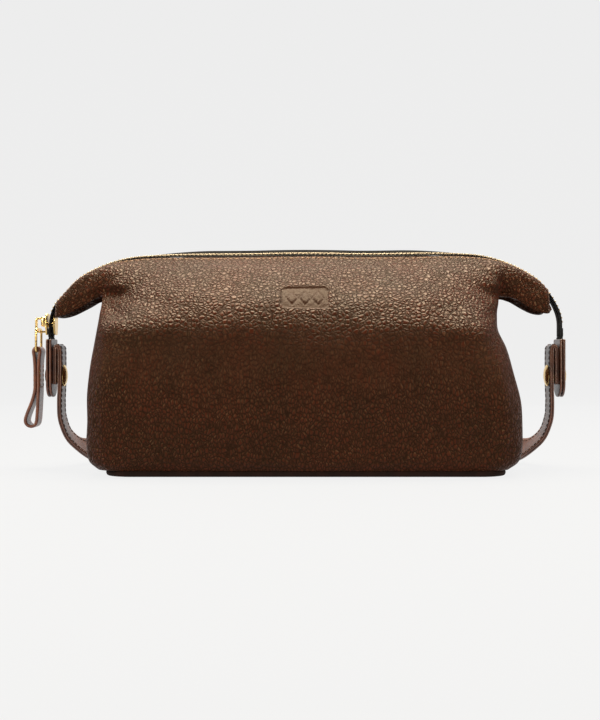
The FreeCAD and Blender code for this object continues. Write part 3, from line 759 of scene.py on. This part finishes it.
def panel_faces(rows, columns, flip, keep_cell=lambda r, c: True):
    faces = []
    for r in range(rows - 1):
        for c in range(columns - 1):
            if keep_cell(r, c):
                first = r * columns + c
                face = (first, first + 1, first + columns + 1, first + columns)
                faces.append(face if flip else tuple(reversed(face)))
    return faces


ROOF_END = int(np.argmin(np.abs(ROW_AT - ROOF_ROWS)))
LEFT_INDEX = int(np.argmin(np.abs(COLUMN_AT - (MIDDLE_COLUMN - NOTCH))))
RIGHT_INDEX = int(np.argmin(np.abs(COLUMN_AT - (MIDDLE_COLUMN + NOTCH))))


def in_panel(r, c):
    """Roof and wings down to the roof line, and the wall between the side seams."""
    return r < ROOF_END or LEFT_INDEX <= c < RIGHT_INDEX


GRIDS = {"front": dressed_grid(True), "back": dressed_grid(False)}


def outward_normals(which):
    return grid_normals(GRIDS[which]) * (1 if which == "front" else -1)


def panel(name, which, material, inset=0.0, keep_cell=in_panel):
    """The kept cells of one leather's grid as a mesh, with only the points that they use."""
    grid = GRIDS[which]
    verts = (grid - outward_normals(which) * inset).reshape(-1, 3)
    faces = panel_faces(*grid.shape[:2], which == "back", keep_cell)
    used = sorted({i for face in faces for i in face})
    new = {old: index for index, old in enumerate(used)}
    faces = [tuple(new[i] for i in face) for face in faces]
    return mesh_object(name, [verts[i] for i in used], faces, material)


for which in GRIDS:
    skin = subdivided(solidified(panel(f"{which}_leather", which, BAG), LEATHER_THICK))
    attach(skin, "bag", f"{which}_panel")


# ---- gussets

def seam_boundary(which, side):
    """A panel's free edge on one side: from the base up to the notch, and out to the wing's tip."""
    grid = GRIDS[which]
    index = LEFT_INDEX if side < 0 else RIGHT_INDEX
    outwards = range(index, -1, -1) if side < 0 else range(index, grid.shape[1])
    return grid[:ROOF_END:-1, index], grid[ROOF_END, outwards]


GUSSET_COLUMNS = 24


def pleat_top(x):
    """Highest point of the folded pleat, under the zip and clear of the slider's inner plate."""
    gap = min(abs(x), 149.9) + SHOULDER[0]
    radius = SHOULDER[2] - 5.4
    if gap > 0 and gap < radius:
        return SHOULDER[1] + math.sqrt(radius ** 2 - gap ** 2)
    return zip_height(x) - 6.0 if gap <= 0 else SHOULDER[1]


def gusset_grid(side, inset=0.0):
    """Rows of points from front to back: up the end wall, then out under the wing as a folded pleat."""
    rows = []
    front_wall, front_wing = seam_boundary("front", side)
    back_wall, back_wing = seam_boundary("back", side)
    for a, b in zip(front_wall, back_wall):
        row = []
        near_top = np.clip((a[2] - 74) / 24.0, 0, 1) ** 2
        for k in range(GUSSET_COLUMNS + 1):
            p = a + (b - a) * k / GUSSET_COLUMNS
            hump = math.sin(math.pi * k / GUSSET_COLUMNS)
            p[0] += side * (2.2 * hump * (1 - near_top) - 7.5 * near_top * hump ** 1.4)
            p[0] += side * 0.5 * lumps(p, 17.0, 300 + side) * hump
            if a[2] < 9:
                p[0] -= side * 0.6 * hump
            p[0] -= side * inset
            row.append(p)
        rows.append(row)
    for index, (a, b) in enumerate(zip(front_wing, back_wing)):
        row = []
        through = index / (len(front_wing) - 1)
        rise = max(min(pleat_top(a[0]) - a[2], 9.5), 0.0)
        for k in range(GUSSET_COLUMNS + 1):
            p = a + (b - a) * k / GUSSET_COLUMNS
            hump = math.sin(math.pi * k / GUSSET_COLUMNS)
            p[2] += rise * hump ** 1.3 + inset
            p[0] -= side * 7.5 * hump ** 1.4 * (1 - through) ** 3
            row.append(p)
        rows.append(row)
    return np.array(rows)


def grid_object(name, grid, side, material):
    return mesh_object(name, grid.reshape(-1, 3), panel_faces(*grid.shape[:2], side > 0), material)


for side, word in SIDES:
    wall = grid_object(f"gusset_leather_{word}", gusset_grid(side), side, BAG)
    wall = subdivided(solidified(wall, LEATHER_THICK))
    attach(wall, "bag", f"gusset_{word}")


# ---- base, linings and pocket

BASE_SIZE = (114.0, 56.2, 16.0)         # half length, half depth and corner radius
BASE_THICK = 3.4
XYZ = ((1, 0, 0), (0, 1, 0), (0, 0, 1))


def oblong(half_long, low, high, low_radius, high_radius, steps):
    """An oblong outline with its lower corners rounded by one radius and its upper ones by another."""
    corners = [(-half_long, low), (half_long, low), (half_long, high), (-half_long, high)]
    return rounded_outline(corners, [low_radius, low_radius, high_radius, high_radius], steps)


half_long, half_deep, corner = BASE_SIZE
base_outline = oblong(half_long, -half_deep, half_deep, corner, corner, 10)
base = mesh_object("base_leather", *plate(base_outline, BASE_THICK, (0, 0, 0), XYZ, 1.3), BASE)
attach(base, "bag", "base_panel")

LINING_THICK = 0.7
LINING_INSET = LEATHER_THICK + LINING_THICK


def lining_cell(r, c):
    """The lining stops short of the zip, the side seams and the base."""
    return 3 <= r < len(ROW_AT) - 5 and LEFT_INDEX + 4 <= c < RIGHT_INDEX - 4


for which in GRIDS:
    cloth = solidified(panel(f"lining_cloth_{which}", which, LINING, LINING_INSET, lining_cell), LINING_THICK)
    attach(cloth, "bag", f"lining_{which}")


def pocket_cell(r, c):
    x, _, z = GRIDS["back"][r, c]
    return abs(x) < 84 and 15 < z < 78


pocket = solidified(panel("slip_pocket_cloth", "back", LINING, LINING_INSET + 1.4, pocket_cell), 0.9)
attach(pocket, "bag", "slip_pocket")

for side, word in SIDES:
    tall = len(seam_boundary("front", side)[0]) - 8
    cloth = grid_object(f"lining_cloth_{word}", gusset_grid(side, LINING_INSET)[4:tall, 2:-2], side, LINING)
    attach(solidified(cloth, LINING_THICK), "bag", f"lining_{word}")

recolour("base_board", BOARD)
recolour("lining_base", LINING)


# ---- zip

def zip_point(distance, y, offset):
    """A point beside the zip's line: y across it and offset outwards from its outer face."""
    x, z, _ = zip_frame(distance)
    x, _, z = np.array((x, 0.0, z)) + zip_out(distance) * offset
    return np.array((x, y, z + tilt_at(x) * y))


def zip_out(distance):
    angle = math.radians(zip_frame(distance)[2])
    return np.array((math.cos(angle), 0.0, math.sin(angle)))


TAPE_EDGE = 6.6
TAPE_STEPS = np.linspace(0, 2 * HALF_ZIP, 260)


def tape(name, way):
    """One half of the zip's tape; along the top the back half stands up a little behind the teeth."""
    # How far from the middle, how far out, and how much of the standing up, round the tape's section.
    profile = [(1.1, -1.2, 0.0), (2.6, -1.15, 0.3), (TAPE_EDGE * 0.6, -1.15, 2.7), (TAPE_EDGE, -1.3, 2.3),
               (TAPE_EDGE, -1.8, 2.1), (TAPE_EDGE * 0.6, -1.7, 2.0), (2.6, -1.75, 0.0), (1.1, -1.8, 0.0)]
    verts = []
    for at in TAPE_STEPS:
        stand = tilt_at(zip_frame(at)[0]) / ZIP_TILT if way > 0 else 0.0
        verts += [zip_point(at, way * y, offset + lift * stand) for y, offset, lift in profile]
    return solid(name, (verts, capped(len(TAPE_STEPS), len(profile))), TAPE, smooth=False)


def tooth(distance, way):
    """One metal tooth: a leg clamped on the tape and a cupped head over the middle."""
    out, middle = zip_out(distance), zip_point(distance, 0, 0)
    along = np.array((-out[2], 0, out[0]))
    lean = np.array((0, 1.0, tilt_at(middle[0])))
    # How far from the middle, half the width and how tall, from the leg to the head's tip.
    stations = ((3.3, 0.5, 0.75), (2.5, 0.62, 1.0), (1.0, 0.62, 1.0), (0.45, 0.74, 1.08), (-0.5, 0.66, 0.95),
                (-0.75, 0.4, 0.6))
    verts = []
    for y, half, tall in stations:
        centre = middle + lean * (way * y)
        top = -0.02 - (1.0 - tall) * 0.4
        low = top - 1.35 * tall
        for u, v in ((-0.7, top), (0.7, top), (1, top - 0.3), (1, low + 0.2), (0.7, low), (-0.7, low),
                     (-1, low + 0.2), (-1, top - 0.3)):
            verts.append(centre + along * u * half + out * v)
    return verts, capped(len(stations), 8)


SLIDER_CLEAR = 16.0                     # bare tape at the slider's end
STOP_CLEAR = 5.5                        # and at the stops' end
TEETH = int((2 * HALF_ZIP - STOP_CLEAR - SLIDER_CLEAR) / TOOTH_PITCH)
for which, way, shift in (("front", -1, 0.0), ("back", 1, 0.5)):
    attach(tape(f"tape_{which}", way), "bag", f"zip_tape_{which}")
    parts = [tooth(SLIDER_CLEAR + (n + shift) * TOOTH_PITCH, way) for n in range(TEETH)]
    attach(joined(f"teeth_{which}", parts, TEETH_GOLD), "bag", f"zip_teeth_{which}")


# ---- stitches along the zip

def top_stitches(which, row=2):
    return stitch_row(GRIDS[which][row, 3:-3], outward_normals(which)[row, 3:-3], 3.3, 0.34)


for which in GRIDS:
    attach(joined(f"zip_stitches_{which}", top_stitches(which), THREAD_TAN), "bag")


def tip_stitches(column):
    """A short column of stitches down the end seam of a wing."""
    rows = slice(2, ROOF_END - 1)
    return stitch_row(GRIDS["front"][rows, column], outward_normals("front")[rows, column], 2.6, 0.3)


for word, column in (("left", 12), ("right", -13)):
    attach(joined(f"tip_stitches_{word}", tip_stitches(column), THREAD_DARK), "bag")


# ---- tabs

TAB = (9.0, 43.0, 78.0)                 # half width, bottom and top
TAB_LAYER = 1.4


def tab_stitches(side):
    """Round the edge of a tab's outer face, and across its top."""
    around = oblong(TAB[0] - 2.0, TAB[1] + 2.0, TAB[2] - 1.6, 6.4, 0.6, 10)
    line = np.array([(side * TAB_FACE, y, z) for y, z in around + around[:1]])
    return stitch_row(line, np.tile((side, 0.0, 0.0), (len(line), 1)), 3.0)


for side, word in SIDES:
    ways = (ACROSS, (0, 0, 1), (side, 0, 0))
    for layer, near, material in (("outer", TAB_FACE - 1.4, STRAP), ("inner", TAB_FACE - 3.4, STRAP_BACK)):
        shape = plate(oblong(*TAB, TAB[0] * 0.92, 1.2, 12), TAB_LAYER, (side * near, 0, 0), ways, 0.45)
        leather = solid(f"tab_{layer}_leather_{word}", shape, material)
        attach(leather, f"tab_{word}", f"tab_{word}_{layer}")
    attach(joined(f"tab_stitches_{word}", tab_stitches(side), THREAD_DARK), f"tab_{word}")
    recolour(f"tape_tail_{word}", TAPE)


def hinge_tape(side):
    """The joined tape between the zip and the top of a tab."""
    heights = np.linspace(73.5, 84.5, 23)
    verts = []
    for z in heights:
        outer = 154.7 if z > 79 else 154.35
        inner = outer - 0.6
        for x, y in ((outer, -TAPE_EDGE), (inner, -TAPE_EDGE), (inner, TAPE_EDGE), (outer, TAPE_EDGE)):
            verts.append((side * x, y, z))
    return verts, capped(len(heights), 4)


for side, word in SIDES:
    cloth = solid(f"hinge_tape_{word}", hinge_tape(side), TAPE, smooth=False)
    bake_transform(cloth)


# ---- snaps

def dome(face_x, side, high=2.0, sides=48):
    """A snap cap: a shallow dome with a rolled rim."""
    # Radius, and height as a part of the dome's, from near the crown to the foot of the rim.
    profile = [(1.6, 0.97), (3.2, 0.86), (4.6, 0.68), (5.6, 0.46), (6.1, 0.3), (6.35, 0.26), (6.5, 0.14),
               (6.45, 0.01), (5.9, 0.0)]
    verts = []
    for r, h in profile:
        for k in range(sides):
            turn = 2 * math.pi * k / sides
            verts.append((face_x + side * high * h, r * math.cos(turn), SNAP_Z + r * math.sin(turn)))
    crown_point = len(verts)
    verts.append((face_x + side * high, 0, SNAP_Z))
    faces = loft(len(profile), sides) + end_caps(len(profile), sides)[1:]
    faces += [(crown_point, (k + 1) % sides, k) for k in range(sides)]
    return verts, faces


for side, word in SIDES:
    cap = solid(f"tab_cap_gold_{word}", dome(side * TAB_FACE, side), GOLD)
    attach(cap, f"tab_{word}", f"tab_cap_{word}")
    cap = solid(f"strap_cap_gold_{word}", dome(side * (STRAP_X - STRAP_LAYER), -side), GOLD)
    attach(cap, "strap", f"strap_cap_{word}")
    recolour(f"snap_stud_{word}", GOLD)
    recolour(f"snap_socket_{word}", GOLD)


# ---- handle strap

STRAP_HALF = 7.5
STRAP_STITCH_Y = 5.6
# From the folded tail, over the top, down beside the bag and round behind it: place, and its face's turn.
RIGHT_ROUTE = [
    ((150.8, 0, 50.8), 180), ((150.8, 0, 60), 180), ((150.8, 0, 69), 180), ((150.5, 0, 72.6), 215),
    ((149.25, 0, 73.6), 270), ((148.0, 0, 72.6), 325), ((147.7, 0, 69), 360), ((147.7, 0, 60), 360),
    ((147.8, 0, 49), 360), ((148.5, 2, 39), 360), ((148.4, 6, 29), 362), ((145.4, 13, 18.5), 366),
    ((138.2, 25, 9.9), 376), ((132.8, 43, 8.2), 398), ((123.5, 60, 7.8), 420), ((104, 73, 7.7), 436),
    ((54, 79.5, 7.6), 447), ((0, 80.7, 7.6), 450),
]


def strap_line(side, per_step=6):
    """Points and ways of the strap's middle on one side, ending behind the bag."""
    both = smooth_line([(*place, turn) for place, turn in RIGHT_ROUTE], per_step)
    line, turns = both[:, :3], both[:, 3]
    flip = np.array((side, 1, 1))
    ways = []
    for index, turn in enumerate(turns):
        tangent = unit(line[min(index + 1, len(line) - 1)] - line[max(index - 1, 0)])
        cos, sin = math.cos(math.radians(turn)), math.sin(math.radians(turn))
        if turn < 360:
            across, face_way = ACROSS, unit(np.cross(ACROSS, tangent))
            face_way = -face_way if face_way[0] * cos < 0 else face_way
        else:
            hint = np.array((0.0, cos, sin))
            across = unit(hint - tangent * np.dot(hint, tangent))
            face_way = unit(np.cross(tangent, across))
        ways.append((across * flip, face_way * flip))
    return line * flip, ways


def whole_strap():
    """The strap from the left tail to the right one, its faces kept on the same sides all the way."""
    left, left_ways = strap_line(-1)
    right, right_ways = strap_line(1)
    ways = []
    for across, face_way in left_ways + right_ways[-2::-1]:
        if ways and np.dot(face_way, ways[-1][1]) < -0.2:
            face_way = -face_way
        ways.append((across, face_way))
    return np.vstack([left, right[-2::-1]]), ways


STRAP_LINE, STRAP_WAYS = whole_strap()
for name, near, far, material, node in (("strap_face", 0.04, STRAP_LAYER, STRAP, "strap_outer"),
                                        ("strap_backing", -STRAP_LAYER, -0.04, STRAP_BACK, "strap_lining")):
    layer = solid(name, ribbon(STRAP_LINE, STRAP_WAYS, STRAP_HALF, near, far), material)
    attach(layer, "strap", node)

for name, face in (("strap_stitches_face", 1), ("strap_stitches_backing", -1)):
    parts = []
    ups = [way * face for _, way in STRAP_WAYS]
    for rim in (-STRAP_STITCH_Y, STRAP_STITCH_Y):
        line = [point + across * rim + way * face * STRAP_LAYER
                for point, (across, way) in zip(STRAP_LINE, STRAP_WAYS)]
        parts += stitch_row(line[3:-3], ups[3:-3], 3.25, 0.34)
    attach(joined(name, parts, THREAD_DARK), "strap")


# ---- slider, link and pull

SLIDER_LOW, SLIDER_HIGH = 80.5, 93.5
SLIDER_NARROW, SLIDER_WIDE = 3.6, 5.0
SLIDER_PLATE = 1.2
PLATES_X = (-155.8, -151.1)             # the inner faces of the outer plate and of the inner one
CROWN_X = PLATES_X[0] - SLIDER_PLATE
LEFTWARD = (ACROSS, (0, 0, 1), (-1, 0, 0))


def slider_outline():
    """Wide where the tapes part, narrow where they leave joined."""
    shoulder = SLIDER_LOW + 6.0
    corners = [(-SLIDER_NARROW, SLIDER_LOW), (SLIDER_NARROW, SLIDER_LOW), (SLIDER_WIDE, shoulder),
               (SLIDER_WIDE, SLIDER_HIGH), (-SLIDER_WIDE, SLIDER_HIGH), (-SLIDER_WIDE, shoulder)]
    return rounded_outline(corners, [1.2, 1.2, 3.0, 2.2, 2.2, 3.0], 6)


def slider_parts():
    """Both plates, the post between them, and the crown with its rim on the outer plate."""
    parts = [plate(slider_outline(), SLIDER_PLATE, (x, 0, 0), LEFTWARD, 0.45) for x in PLATES_X]
    post = oblong(0.7, SHOULDER[1] - 1.3, SHOULDER[1] + 1.3, 0.3, 0.3, 3)
    parts.append(plate(post, 4.4, (-151.8, 0, 0), LEFTWARD, 0.1))
    turns = np.linspace(0, 2 * math.pi, 40)[:-1]
    rim = [(CROWN_X - 0.1, 4.1 * math.cos(turn), 87.6 + 4.6 * math.sin(turn)) for turn in turns]
    parts.append(closed_tube(rim, 0.22))
    parts.append(plate(oblong(2.3, 85.6, 92.0, 0.9, 2.0, 6), 3.6, (-156.6, 0, 0), LEFTWARD, 1.0))
    return parts


def arch_line(low=82.5, high=90.5, reach=6.2):
    """The bail's line: out from the crown, up and back in."""
    foot, front = CROWN_X + 0.4, CROWN_X - reach
    points = [(foot, low), (front + 1.2, low), (front + 0.3, low + 0.5), (front, low + 1.7),
              (front, high - 1.7), (front + 0.3, high - 0.5), (front + 1.2, high), (foot, high)]
    return smooth_line([(x, 0, z) for x, z in points], 5)


def flat_ways(line, closed=False):
    """Ways of a strip whose width lies along Y."""
    ways, count = [], len(line)
    for index in range(count):
        before = index - 1 if closed else max(index - 1, 0)
        after = (index + 1) % count if closed else min(index + 1, count - 1)
        ways.append((ACROSS, unit(np.cross(ACROSS, unit(line[after] - line[before])))))
    return ways


attach(joined("slider_gold", slider_parts(), GOLD), "zip_slider", "slider_body")
ARCH = arch_line()
bail = solid("bail_gold", ribbon(ARCH, flat_ways(ARCH), 1.3, -0.62, 0.62), GOLD)
attach(bail, "zip_slider", "slider_bail")

link_ring = oblong(7.05, 70.65, 84.15, 1.6, 1.9, 6)
link_tube = closed_tube([(LINK_X, y, z) for y, z in link_ring], 0.72, sides=14)
attach(solid("link_gold", link_tube, GOLD), "pull_link", "pull_link")

PULL_HALF, PULL_THICK = 6.0, 1.84
PULL_FACE = 1.0 + PULL_THICK / 2        # from the doubled part's middle to its outer face
# The leather pull's middle line: up to the link, over it, down, and round the teardrop.
PULL_ROUTE = [(1.0, 47.5), (1.0, 54), (1.05, 61), (1.5, 67.2), (1.95, 70.4), (1.3, 72.2), (0, 72.7),
              (-1.3, 72.2), (-1.95, 70.4), (-1.5, 67.2), (-1.05, 61), (-1.0, 54), (-1.1, 47.5), (-2.7, 41),
              (-5.2, 34.6), (-6.7, 30.2), (-6.6, 27.6), (-5.1, 25.9), (-3.0, 25.4), (-1.0, 26.4),
              (-0.1, 28.9), (0.3, 33.5), (0.7, 40.5)]
PULL_LINE = smooth_line([(LINK_X + x, 0, z) for x, z in PULL_ROUTE], 5, closed=True)
pull_strip = ribbon(PULL_LINE, flat_ways(PULL_LINE, closed=True), PULL_HALF, -PULL_THICK / 2,
                    PULL_THICK / 2, 0.4, closed=True)
attach(solid("pull_leather", pull_strip, PULL), "pull_loop", "pull_loop")


def pull_stitches():
    """A row up each rim of the doubled part, on both faces, and one across at its foot."""
    parts = []
    for face in (-1, 1):
        at = LINK_X + face * PULL_FACE
        rows = [[(at, y, z) for z in np.linspace(49, 66, 12)] for y in (-4.4, 4.4)]
        rows.append([(at, y, 49) for y in np.linspace(-4, 4, 8)])
        for row in rows:
            parts += stitch_row(row, np.tile((face, 0.0, 0.0), (len(row), 1)), 2.6, 0.32)
    return parts


attach(joined("pull_stitches", pull_stitches(), THREAD_TAN), "pull_loop")

recolour("zip_stops_right", GOLD)


# ---- stage, light and camera

GLOW = 0.84                             # lifts the backdrop to an even pale grey
WARM = (1.0, 0.93, 0.76)


def backdrop():
    """A pale floor that turns up into a wall far behind."""
    material, tree, shader = new_material("backdrop_look")
    tint = noise_at(tree, add(tree, "TexCoord", {}).outputs["Object"], 0.8, 1.0).outputs[0]
    put(tree, shader, {
        "Base Color": mixed(tree, tint, (0.006, 0.0062, 0.0066), (0.007, 0.0072, 0.0076)), "Roughness": 0.9,
        "Specular IOR Level": 0.1, "Emission Color": (1.0, 1.0, 1.0, 1.0), "Emission Strength": GLOW,
    })
    profile = [(-2500.0, 0.0), (900.0, 0.0)]
    profile += [(900 + 500 * math.sin(t), 500 - 500 * math.cos(t)) for t in np.linspace(0.1, math.pi / 2, 14)]
    profile.append((1400.0, 2600.0))
    verts = [(x, y, z) for y, z in profile for x in (-3000.0, 3000.0)]
    faces = [(2 * i, 2 * i + 1, 2 * i + 3, 2 * i + 2) for i in range(len(profile) - 1)]
    mesh_object("backdrop", verts, faces, material)


def area_light(name, place, target, size, power):
    light = bpy.data.lights.new(name, "AREA")
    light.shape = "RECTANGLE"
    light.size, light.size_y = size
    light.energy = power
    light.color = WARM
    item = bpy.data.objects.new(name, light)
    bpy.context.scene.collection.objects.link(item)
    item.location = place
    item.rotation_euler = (Vector(target) - Vector(place)).to_track_quat("-Z", "Y").to_euler()


backdrop()
area_light("overhead", (0.0, 0.15, 0.93), (0, 0, 0.1), (1.1, 0.42), 40.0)
area_light("left_window", (-0.95, -0.85, 0.42), (-0.05, 0, 0.05), (0.2, 0.3), 13.0)
area_light("right_window", (0.95, -0.85, 0.4), (0.05, 0, 0.05), (0.2, 0.3), 11.5)

world = bpy.data.worlds.new("room")
bpy.context.scene.world = world
world.use_nodes = True
put(world.node_tree, world.node_tree.nodes["Background"], {"Color": (1, 1, 1, 1), "Strength": 0.05})

camera_data = bpy.data.cameras.new("camera")
camera_data.sensor_width = 36.0
camera_data.lens = 57.7
camera = bpy.data.objects.new("camera", camera_data)
bpy.context.scene.collection.objects.link(camera)
camera.location = (-0.0034, -0.700, 0.0654)
camera.rotation_euler = (math.radians(90), 0, 0)
bpy.context.scene.camera = camera
bpy.context.scene.view_settings.view_transform = "Standard"
